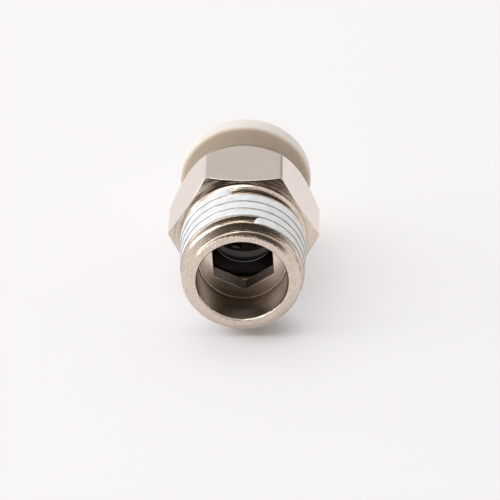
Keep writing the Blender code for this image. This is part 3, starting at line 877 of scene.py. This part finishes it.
in_socket = (station > KEY_START + NEAR) & (base_radius < SOCKET_LIMIT)
on_ledge = ~in_socket & (base_radius < LEDGE_LIMIT)
on_wall = ~in_socket & ~on_ledge & (base_radius < BORE_RADIUS + NEAR) & (station > WALL_START)
# Painted shade inside, deeper into the bore and deepest in the key socket.
wall_dull_and_shade = MOUTH_DULL_AND_SHADE + WALL_DULL_AND_SHADE_RISE * station / KEY_START
dull_and_shade = SOCKET_DULL_AND_SHADE * in_socket + LEDGE_DULL_AND_SHADE * on_ledge + wall_dull_and_shade * on_wall
mark(piece, "dulled_and_shaded", dull_and_shade * np.ones_like(angle))

# %% [markdown]
# ## The hexagon
#
# The hexagon is bar stock. On the lathe its corners are turned to a slightly smaller circle, its front
# edge gets a shallow chamfer, and its rear runs down a steep cone to the mouth. The surface is again the
# lower of two heights: the turned profile, and the hexagon's own radius, which is the distance to a flat
# divided by the cosine of the angle from it. That draws the curved edges where the cone meets the flats
# without any cutting. The round on the edges grows from front to rear, and columns crowd together at
# the corners, where the shape turns quickly. The flats are marked as drawn. On the front chamfer dark
# streaks are laid as painted shade, most of all a little to the left of its top.

# %% Make the hexagon
HEX_FLAT = 7.0
HEX_CORNER = 8.0
HEX_SHOULDER = 6.9
HEX_FRONT_SLOPE = math.tan(math.radians(27))
CHAMFER_END = HEX_FRONT + 1.0
REAR_CONE_SLOPE = math.tan(math.radians(30))
REAR_FACE_RADIUS = 6.5
CHAMBER_RADIUS = 6.0
SECTOR_COLUMNS = 60
FRONT_EDGE_ROUND, REAR_EDGE_ROUND = 0.05, 0.12
ROUND_FULL = HEX_REAR - 4.0
CORNER_MARGIN, JOIN_MARGIN = 0.02, 0.3
CHAMFER_SHADE_TURN = math.radians(25)

hexagon = part_refined([
    (SHANK_JOIN + 0.2, HEX_FRONT, 0.02),
    (HEX_SHOULDER, HEX_FRONT, 0.02),
    (HEX_CORNER, HEX_FRONT + (HEX_CORNER - HEX_SHOULDER) * HEX_FRONT_SLOPE, 0.06),
    (HEX_CORNER, HEX_REAR - (HEX_CORNER - REAR_FACE_RADIUS) / REAR_CONE_SLOPE, 0.15),
    (REAR_FACE_RADIUS, HEX_REAR, 0.06),
    (CHAMBER_RADIUS, HEX_REAR, 0.05),
    (CHAMBER_RADIUS, SEAL_REAR, 0.05),
    (SHANK_JOIN - 0.1, SEAL_REAR, 0.05),
    (SHANK_JOIN - 0.1, HEX_FRONT + 0.3, 0.02),
], count=5, fine=0.09, coarse=0.25)
base_radius, station = hexagon[:, :1], hexagon[:, 1:]
sector = np.sin(np.linspace(-math.pi / 2, math.pi / 2, SECTOR_COLUMNS + 1)[:-1]) * (math.tau / 12)
angle = (np.arange(6)[:, None] * (math.tau / 6) + sector[None, :]).reshape(1, -1)
flat_radius = HEX_FLAT / np.cos(np.tile(sector, 6)[None, :])
edge_round = np.interp(station, [CHAMFER_END, ROUND_FULL], [FRONT_EDGE_ROUND, REAR_EDGE_ROUND])
hexagon_radius = soft_minimum(base_radius, flat_radius, edge_round)
piece = ring("hexagon", hexagon_radius, station, angle, nickel, "housing", "nickel_plated_brass")

drawn_faces = (flat_radius < base_radius) | (base_radius > HEX_CORNER - CORNER_MARGIN)
mark(piece, "drawn", drawn_faces)
# Painted shade on the front chamfer, strongest a little to the left of its top.
front_chamfer = ~drawn_faces & (base_radius > SHANK_JOIN + JOIN_MARGIN) & (station < CHAMFER_END)
mark(piece, "scored_and_shaded", front_chamfer * np.clip(np.cos(angle + CHAMFER_SHADE_TURN), 0, 1) ** 2)

# %% [markdown]
# ## The sealant in the thread
#
# The sealant fills about four turns of the groove. Its section is the groove's own section, carried
# along the helix. It is wiped towards the thread's end: a thin film lies over the back of the crest in
# front, and the crest behind stands bare by less than a tenth of a millimetre, which shows as a dark
# line. The brush leaves the top uneven by about a hundredth of a millimetre, from a sum of waves of
# different lengths.

# %% Points of the sealant band
SEALANT_START = 1.033
SEALANT_END = RUNOUT_START - 0.028
SEALANT_OVERLAP = 0.01
SEALANT_STEPS, SEALANT_COLUMNS = 900, 15
REAR_DROP, REAR_EDGE = 0.06, 0.4
FRONT_FILM = 0.15
TOP_DROP = 0.015
BRUSH_HEIGHT = 0.012
BRUSH_WAVES = [(23.0, 0.0, 0.6), (41.0, 1.3, 0.0), (77.0, -2.1, 0.0)]
END_TURN, END_DROP = 0.012, 0.45

turn = np.linspace(SEALANT_START, SEALANT_END, SEALANT_STEPS)[:, None]
across_band = np.linspace(-1.0, 1.0, SEALANT_COLUMNS)[None, :]
middle = FIRST_GROOVE + turn * PITCH
root_half = ROOT_HALF_WIDTH + SEALANT_OVERLAP
rear_half = ROOT_HALF_WIDTH + (THREAD_DEPTH - REAR_DROP) * FLANK_SLOPE + SEALANT_OVERLAP
front_half = ROOT_HALF_WIDTH + THREAD_DEPTH * FLANK_SLOPE + FRONT_FILM
waves = sum(np.sin(turn * rate + across_band * slant + phase) for rate, slant, phase in BRUSH_WAVES)
brushed = BRUSH_HEIGHT * (waves / len(BRUSH_WAVES)) * (1 - across_band ** 2)
ends = np.clip(np.minimum(turn - SEALANT_START, SEALANT_END - turn) / END_TURN, 0, 1) ** 0.5
rear_edge = np.clip((across_band - REAR_EDGE) / (1 - REAR_EDGE), 0, 1) ** 2
top = brushed - TOP_DROP - (REAR_DROP - TOP_DROP) * rear_edge - END_DROP * (1 - ends)
top_radius = crest_radius(middle) + top
root_radius = crest_radius(middle) - THREAD_DEPTH - SEALANT_OVERLAP + 0 * across_band
top_station = middle + across_band * np.where(across_band < 0, front_half, rear_half)
band_station = np.hstack([top_station, middle - across_band * root_half])
band_radius = np.hstack([top_radius, root_radius])
band_angle = turn * math.tau
points = np.stack(
    [band_radius * np.sin(band_angle), band_station, band_radius * np.cos(band_angle)], axis=-1
)
print(f"sealant from turn {SEALANT_START:.2f} to {SEALANT_END:.2f}")

# %% [markdown]
# ## Faces of the sealant band
#
# The band is a tube with a flattened section, so its faces join each section to the next, and wrap
# round the section. A tube has two open ends. Each is closed by a strip of faces between its top and its
# bottom.

# %% Make the sealant band
rows, columns = band_station.shape
index = np.arange(rows * columns).reshape(rows, columns)
along, beyond = index[:-1], index[1:]
sides = np.stack([along, beyond, np.roll(beyond, -1, axis=1), np.roll(along, -1, axis=1)], axis=-1)
over, under = index[:, :columns // 2], index[:, :columns // 2 - 1:-1]
caps = np.stack([over[:, :-1], over[:, 1:], under[:, 1:], under[:, :-1]], axis=-1)
faces = np.concatenate([sides.reshape(-1, 4), caps[0], caps[-1][:, ::-1]])
add_piece(
    "sealant_band", points.reshape(-1, 3), faces, sealant, "housing", "thread_sealant", ["thread_sealant"]
)

# %% [markdown]
# ## Seal and spacer ring
#
# Down the bore, behind the key socket, sits a black rubber seal whose lip grips the tube. A grey ring
# behind it keeps it in its pocket. Both are plain rings with softly rounded edges.

# %% Make the seal and the spacer ring
INNER_COLUMNS = 144
TUBE_BORE = 4.1
LIP_RADIUS = 3.33
LIP_STATION = SEAL_FRONT + 0.82
SEAL_RADIUS = reach("seal")

turned("lip_seal", [
    (SEAL_RADIUS, SEAL_FRONT, 0.08),
    (SEAL_RADIUS, SEAL_REAR, 0.08),
    (TUBE_BORE, SEAL_REAR, 0.10),
    (TUBE_BORE + 0.3, LIP_STATION + 1.2, 0.25),
    (LIP_RADIUS + 0.045, LIP_STATION + 0.32, 0.08),
    (LIP_RADIUS, LIP_STATION, 0.08),
    (TUBE_BORE + 0.2, SEAL_FRONT, 0.10),
    (TUBE_BORE + 0.45, SEAL_FRONT, 0.08),
    (TUBE_BORE + 0.45, SEAL_FRONT + 1.0, 0.08),
    (SEAL_RADIUS - 0.25, SEAL_FRONT + 1.0, 0.08),
    (SEAL_RADIUS - 0.25, SEAL_FRONT, 0.08),
], INNER_COLUMNS, rubber, "housing", "black_rubber", ["seal"])

SPACER_RADIUS = reach("spacer_ring")
turned("seal_spacer", [
    (TUBE_BORE, SPACER_FRONT + 0.2, 0.06),
    (TUBE_BORE + 0.2, SPACER_FRONT, 0.06),
    (SPACER_RADIUS, SPACER_FRONT, 0.10),
    (SPACER_RADIUS, SPACER_REAR, 0.10),
    (TUBE_BORE + 0.2, SPACER_REAR, 0.06),
    (TUBE_BORE, SPACER_REAR - 0.2, 0.06),
], INNER_COLUMNS, grey, "housing", "grey_plastic", ["spacer_ring"])

# %% [markdown]
# ## Chuck and collet
#
# The chuck is a dished steel ring with claws at its inner edge, which bite into the tube. The collet
# behind it is a ring of fingers. Each is a ring whose edge is pushed back where a slot is: a slot is 1
# inside and 0 outside, with a steep step between, and the columns of the grid crowd at those steps.

# %% Helpers for slotted rings
CLAWS = 12
CLAW_TURN = math.radians(4)
CLAW_COLUMNS = 14
SLOT_EDGE = 0.01
SECTION_STEP = 0.15


def slotted_angles(slot_width, at_radius):
    """Angles for a slotted ring, and how much of a slot is at each: 1 in it, 0 outside.

    The claws are at equal steps from straight down, turned by the claw turn. The steps between slot and
    claw are a hundredth of a claw wide.
    """
    half_slot = slot_width / at_radius / (math.tau / CLAWS) / 2
    inner = half_slot - SLOT_EDGE
    near = np.array([-inner, -half_slot / 2, 0.0, half_slot / 2, inner, half_slot])
    far = np.linspace(half_slot + SLOT_EDGE, 1 - half_slot - SLOT_EDGE, CLAW_COLUMNS)
    local = np.concatenate([near, far, [1 - half_slot]])
    depth = np.where(local < half_slot - SLOT_EDGE / 2, 1.0, 0.0)
    turns = (np.arange(CLAWS)[:, None] + 0.5 + local[None, :]).reshape(-1)
    return (math.pi - CLAW_TURN - turns * (math.tau / CLAWS))[None, :], np.tile(depth, CLAWS)[None, :]


def section(corners):
    """Radii and stations of a rounded closed profile, with points at most one section step apart."""
    line = rounded(corners)
    line = refined(np.vstack([line, line[:1]]), SECTION_STEP)[:-1]
    return line[:, :1], line[:, 1:]


print(f"{CLAWS} claws")

# %% [markdown]
# ## The chuck
#
# The chuck is thin sheet, dished so that its claws lean into the body and dig in when the tube is
# pulled. In a slot, the grid is drawn back along the dish towards the rim, which leaves the claws
# standing between the slots.

# %% Make the chuck
CHUCK_RADIUS = reach("chuck")
CHUCK_THICKNESS = 0.3
CLAW_RADIUS = 3.85
CLAW_GAP = 0.9
CHUCK_RISE = CHUCK_REAR - CHUCK_THICKNESS - CLAW_TIP
CHUCK_RIM = CHUCK_RADIUS - 0.5
DISH = CHUCK_RISE / (CHUCK_RADIUS - CLAW_RADIUS)

angle, slot_depth = slotted_angles(CLAW_GAP, CLAW_RADIUS)
radius, station = section([
    (CLAW_RADIUS, CLAW_TIP, 0.03),
    (CHUCK_RADIUS, CLAW_TIP + CHUCK_RISE, 0.06),
    (CHUCK_RADIUS, CHUCK_REAR, 0.06),
    (CLAW_RADIUS, CLAW_TIP + CHUCK_THICKNESS, 0.06),
])
pull = np.clip((CHUCK_RADIUS - radius) / (CHUCK_RADIUS - CLAW_RADIUS), 0, 1)
move = slot_depth * pull * (CHUCK_RIM - CLAW_RADIUS)
ring(
    "claw_chuck", radius + move, station + move * DISH, angle, steel,
    "gripper", "stainless_steel", ["chuck"],
)

# %% [markdown]
# ## The collet
#
# The collet lies against the back of the chuck, with the same slope. Its slots run along the axis, so
# there the grid is pushed back along the axis, almost to the plain ring that holds the fingers together.

# %% Make the collet
COLLET_RADIUS = reach("collet")
COLLET_RING = 0.45
COLLET_SHOULDER = COLLET_REAR - 0.78
FINGER_GAP = 0.7
SLOT_SHARE = 0.97

angle, slot_depth = slotted_angles(FINGER_GAP, COLLET_RADIUS)
radius, station = section([
    (TUBE_BORE, COLLET_FRONT, 0.04),
    (COLLET_RADIUS, COLLET_FRONT + (COLLET_RADIUS - TUBE_BORE) * DISH, 0.05),
    (COLLET_RADIUS, COLLET_SHOULDER, 0.08),
    (TUBE_BORE + 1.0, COLLET_REAR, 0.06),
    (TUBE_BORE, COLLET_REAR, 0.06),
])
ahead = np.clip(COLLET_REAR - COLLET_RING - station, 0, None)
ring(
    "collet_fingers", radius + 0 * angle, station + slot_depth * ahead * SLOT_SHARE, angle, grey,
    "gripper", "grey_plastic", ["collet"],
)

# %% [markdown]
# ## The guide ring
#
# The guide ring is pressed into the mouth of the body, and shows as a thin plated step behind the
# hexagon, rougher than the body and darkened as painted shade in the gap between the hexagon and the
# button. Inside, it has a pocket and a lip that keep the button from falling out.

# %% Make the guide ring
GUIDE_COLUMNS = 192
GUIDE_RADIUS = 5.95
GUIDE_FLANGE = reach("guide_ring")
GUIDE_DULL_AND_SHADE = 0.9
LIP_BORE = 4.95
BEAD_POCKET = 5.2
TAPER_MOUTH = 5.65

guide = turned("guide_ring_plated", [
    (TAPER_MOUTH, GUIDE_FRONT, 0.05),
    (GUIDE_RADIUS, GUIDE_FRONT, 0.05),
    (GUIDE_RADIUS, HEX_REAR + 0.05, 0.02),
    (GUIDE_FLANGE, HEX_REAR + 0.05, 0.05),
    (GUIDE_FLANGE, GUIDE_REAR, 0.15),
    (LIP_BORE, GUIDE_REAR, 0.08),
    (LIP_BORE, GUIDE_REAR - 0.8, 0.04),
    (BEAD_POCKET, GUIDE_REAR - 0.8, 0.04),
    (BEAD_POCKET, COLLET_REAR, 0.08),
], GUIDE_COLUMNS, nickel, "housing", "nickel_plated_brass", ["guide_ring"])
# Painted shade: the whole ring is darkened as the gap's shade, and its plating is rougher.
mark(guide, "dulled_and_shaded", np.full(len(guide.data.vertices), GUIDE_DULL_AND_SHADE))

# %% [markdown]
# ## The release button
#
# The button is one moulding: a round flange to press with a fingertip, and a sleeve with a bead at its
# end that slides in the guide. Moulded edges are never sharp, so the flange has generous rounds. The side
# of the flange that faces the hexagon is painted a little warmer, as warm shade.

# %% Make the button
BUTTON_COLUMNS = 240
FLANGE_RADIUS = reach("release_button")
FLANGE_FRONT = TUBE_END - 2.1
SLEEVE_RADIUS = 4.85
BEAD_RADIUS = 5.1
WARM_SHADE_FULL_TO, WARM_SHADE_GONE_FROM = FLANGE_FRONT + 0.1, FLANGE_FRONT + 0.4

button = turned("release_button_moulded", [
    (TUBE_BORE, TUBE_END, 0.45),
    (FLANGE_RADIUS, TUBE_END, 0.55),
    (FLANGE_RADIUS, FLANGE_FRONT, 0.45),
    (SLEEVE_RADIUS, FLANGE_FRONT, 0.25),
    (SLEEVE_RADIUS, SLEEVE_FRONT + 0.4, 0.02),
    (BEAD_RADIUS, SLEEVE_FRONT + 0.4, 0.04),
    (BEAD_RADIUS, SLEEVE_FRONT + 0.2, 0.06),
    (SLEEVE_RADIUS, SLEEVE_FRONT, 0.06),
    (TUBE_BORE, SLEEVE_FRONT, 0.06),
], BUTTON_COLUMNS, cream, "button", "cream_plastic", ["release_button"])
# Painted warm shade on the face of the flange towards the hexagon, fading out over its round.
place = np.empty(3 * len(button.data.vertices), np.float32)
button.data.vertices.foreach_get("co", place)
station = (place[1::3].astype(float) - thread_end) / MM
mark(button, "painted_warm_shade", np.interp(station, [WARM_SHADE_FULL_TO, WARM_SHADE_GONE_FROM], [1.0, 0.0]))
